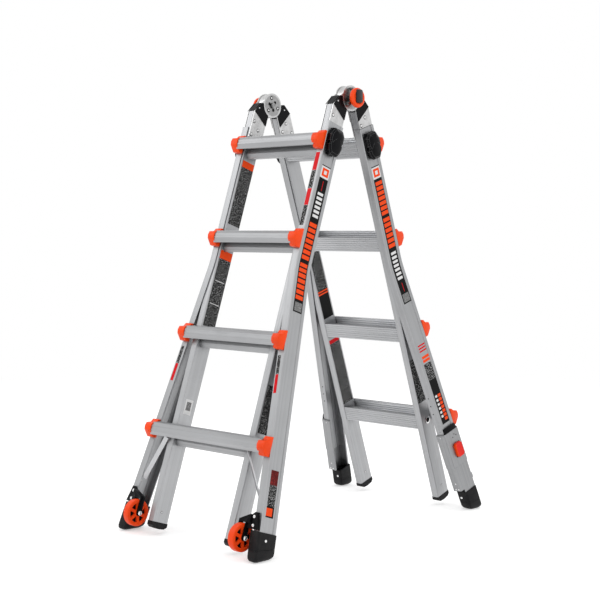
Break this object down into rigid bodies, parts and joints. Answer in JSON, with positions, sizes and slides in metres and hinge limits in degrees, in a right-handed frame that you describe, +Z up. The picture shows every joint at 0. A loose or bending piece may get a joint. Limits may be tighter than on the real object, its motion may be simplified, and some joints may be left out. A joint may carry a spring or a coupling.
{
  "type": "multi position ladder",
  "caption": "Telescoping folding ladder in its A-frame stance, with flared outer rails, locking hinges, tip wheels on one side and sliding leg levelers on the other.",
  "frame": {"origin": "on the floor under the middle of the ladder as it stands", "axes": "+Z up, X along the rungs, -Y towards the section with the wheels"},
  "size_m": [0.6108, 1.057, 1.3374],
  "materials": {
    "aluminium_rail": "satin extruded",
    "aluminium_rung": "satin extruded with ribs",
    "leveler_aluminium": "satin",
    "hinge_steel": "zinc plated",
    "fastener_steel": "zinc plated",
    "black_plastic": "moulded",
    "orange_plastic": "moulded",
    "orange_wheel": "moulded",
    "orange_knob": "moulded",
    "red_plastic": "moulded",
    "black_rubber": "matte"
  },
  "bodies": {
    "front_outer": {"front_foot_left": "black_rubber", "front_foot_right": "black_rubber", "front_lock_housings": "black_plastic", "front_outer_rail_left": "aluminium_rail", "front_outer_rail_right": "aluminium_rail", "front_outer_rivets": "fastener_steel", "front_outer_rung_1": "aluminium_rung", "front_outer_rung_2": "aluminium_rung", "front_outer_rung_3": "aluminium_rung", "front_outer_rung_4": "aluminium_rung", "front_rung_braces": "fastener_steel", "front_rung_end_caps": "orange_plastic", "wheel_bracket_left": "black_plastic", "wheel_bracket_right": "black_plastic"},
    "front_inner": {"front_hinge_covers": "black_plastic", "front_hinge_leaf_left": "hinge_steel", "front_hinge_leaf_right": "hinge_steel", "front_inner_feet": "black_rubber", "front_inner_rail_left": "aluminium_rail", "front_inner_rail_right": "aluminium_rail", "front_inner_rivets": "fastener_steel", "front_inner_rungs": "aluminium_rung", "hinge_barrels": "hinge_steel"},
    "rear_inner": {"rear_hinge_covers": "black_plastic", "rear_hinge_leaf_left": "hinge_steel", "rear_hinge_leaf_right": "hinge_steel", "rear_inner_feet": "black_rubber", "rear_inner_rail_left": "aluminium_rail", "rear_inner_rail_right": "aluminium_rail", "rear_inner_rivets": "fastener_steel", "rear_inner_rungs": "aluminium_rung"},
    "rear_outer": {"rear_leveler_fixings": "black_plastic", "rear_lock_housings": "black_plastic", "rear_outer_rail_left": "aluminium_rail", "rear_outer_rail_right": "aluminium_rail", "rear_outer_rung_1": "aluminium_rung", "rear_outer_rung_2": "aluminium_rung", "rear_outer_rung_3": "aluminium_rung", "rear_outer_rung_4": "aluminium_rung", "rear_rung_end_caps": "orange_plastic"},
    "front_lock_pin_left": {"front_lock_pin_left": "fastener_steel"},
    "front_lock_pin_right": {"front_lock_pin_right": "fastener_steel"},
    "front_rock_lock_left": {"front_rock_lock_left": "black_plastic"},
    "front_rock_lock_right": {"front_rock_lock_right": "black_plastic"},
    "hinge_knob_left": {"hinge_knob_left": "orange_knob", "hinge_pin_plate_left": "hinge_steel"},
    "hinge_knob_right": {"hinge_knob_right": "orange_knob", "hinge_pin_plate_right": "hinge_steel"},
    "leveler_button_left": {"leveler_button_left": "red_plastic"},
    "leveler_button_right": {"leveler_button_right": "red_plastic"},
    "leveler_left": {"leveler_foot_left": "black_rubber", "leveler_leg_left": "leveler_aluminium"},
    "leveler_right": {"leveler_foot_right": "black_rubber", "leveler_leg_right": "leveler_aluminium"},
    "rear_lock_pin_left": {"rear_lock_pin_left": "fastener_steel"},
    "rear_lock_pin_right": {"rear_lock_pin_right": "fastener_steel"},
    "rear_rock_lock_left": {"rear_rock_lock_left": "black_plastic"},
    "rear_rock_lock_right": {"rear_rock_lock_right": "black_plastic"},
    "wheel_left": {"wheel_left": "orange_wheel"},
    "wheel_right": {"wheel_right": "orange_wheel"}
  },
  "joints": [
    {"name": "front_telescope", "type": "slide", "parent": "front_outer", "child": "front_inner", "axis": [0, 0.3191, 0.9477], "range_m": [0, 0.9144]},
    {"name": "main_hinge", "type": "hinge", "parent": "front_inner", "child": "rear_inner", "pos_m": [0, 0.01094, 1.29894], "axis": [1, 0, 0], "range_deg": [-37.2, 142.8]},
    {"name": "rear_telescope", "type": "slide", "parent": "rear_inner", "child": "rear_outer", "axis": [0, 0.3191, -0.9477], "range_m": [0, 0.9144]},
    {"name": "wheel_spin_left", "type": "hinge", "parent": "front_outer", "child": "wheel_left", "pos_m": [-0.2275, -0.48853, 0.06164], "axis": [1, 0, 0], "continuous": true},
    {"name": "hinge_knob_push_left", "type": "slide", "parent": "front_inner", "child": "hinge_knob_left", "axis": [1, 0, 0], "range_m": [0, 0.008], "stiffness_N_per_m": 800, "springref_m": -0.01},
    {"name": "leveler_slide_left", "type": "slide", "parent": "rear_outer", "child": "leveler_left", "axis": [-0.1323, 0.3163, -0.9394], "range_m": [0, 0.09]},
    {"name": "leveler_button_push_left", "type": "slide", "parent": "leveler_left", "child": "leveler_button_left", "axis": [0.9912, 0.0422, -0.1253], "range_m": [0, 0.003], "stiffness_N_per_m": 500, "springref_m": -0.006},
    {"name": "front_rock_lock_tilt_left", "type": "hinge", "parent": "front_outer", "child": "front_rock_lock_left", "pos_m": [-0.1973, -0.08137, 1.14389], "axis": [0, -0.9477, 0.3191], "range_deg": [0, 16]},
    {"name": "front_lock_pin_draw_left", "type": "slide", "parent": "front_outer", "child": "front_lock_pin_left", "axis": [-1, 0, 0], "range_m": [0, 0.004]},
    {"name": "rear_rock_lock_tilt_left", "type": "hinge", "parent": "rear_outer", "child": "rear_rock_lock_left", "pos_m": [-0.1973, 0.10325, 1.14389], "axis": [0, -0.9477, -0.3191], "range_deg": [0, 16]},
    {"name": "rear_lock_pin_draw_left", "type": "slide", "parent": "rear_outer", "child": "rear_lock_pin_left", "axis": [-1, 0, 0], "range_m": [0, 0.004]},
    {"name": "wheel_spin_right", "type": "hinge", "parent": "front_outer", "child": "wheel_right", "pos_m": [0.2275, -0.48853, 0.06164], "axis": [1, 0, 0], "continuous": true},
    {"name": "hinge_knob_push_right", "type": "slide", "parent": "front_inner", "child": "hinge_knob_right", "axis": [-1, 0, 0], "range_m": [0, 0.008], "stiffness_N_per_m": 800, "springref_m": -0.01},
    {"name": "leveler_slide_right", "type": "slide", "parent": "rear_outer", "child": "leveler_right", "axis": [0.1323, 0.3163, -0.9394], "range_m": [0, 0.09]},
    {"name": "leveler_button_push_right", "type": "slide", "parent": "leveler_right", "child": "leveler_button_right", "axis": [-0.9912, 0.0422, -0.1253], "range_m": [0, 0.003], "stiffness_N_per_m": 500, "springref_m": -0.006},
    {"name": "front_rock_lock_tilt_right", "type": "hinge", "parent": "front_outer", "child": "front_rock_lock_right", "pos_m": [0.1973, -0.08137, 1.14389], "axis": [0, 0.9477, -0.3191], "range_deg": [0, 16]},
    {"name": "front_lock_pin_draw_right", "type": "slide", "parent": "front_outer", "child": "front_lock_pin_right", "axis": [1, 0, 0], "range_m": [0, 0.004]},
    {"name": "rear_rock_lock_tilt_right", "type": "hinge", "parent": "rear_outer", "child": "rear_rock_lock_right", "pos_m": [0.1973, 0.10325, 1.14389], "axis": [0, 0.9477, 0.3191], "range_deg": [0, 16]},
    {"name": "rear_lock_pin_draw_right", "type": "slide", "parent": "rear_outer", "child": "rear_lock_pin_right", "axis": [1, 0, 0], "range_m": [0, 0.004]}
  ],
  "couplings": [
    {"joint": "front_lock_pin_draw_left", "follows": "front_rock_lock_tilt_left", "m_per_rad": 0.014},
    {"joint": "rear_lock_pin_draw_left", "follows": "rear_rock_lock_tilt_left", "m_per_rad": 0.014},
    {"joint": "front_lock_pin_draw_right", "follows": "front_rock_lock_tilt_right", "m_per_rad": 0.014},
    {"joint": "rear_lock_pin_draw_right", "follows": "rear_rock_lock_tilt_right", "m_per_rad": 0.014}
  ]
}
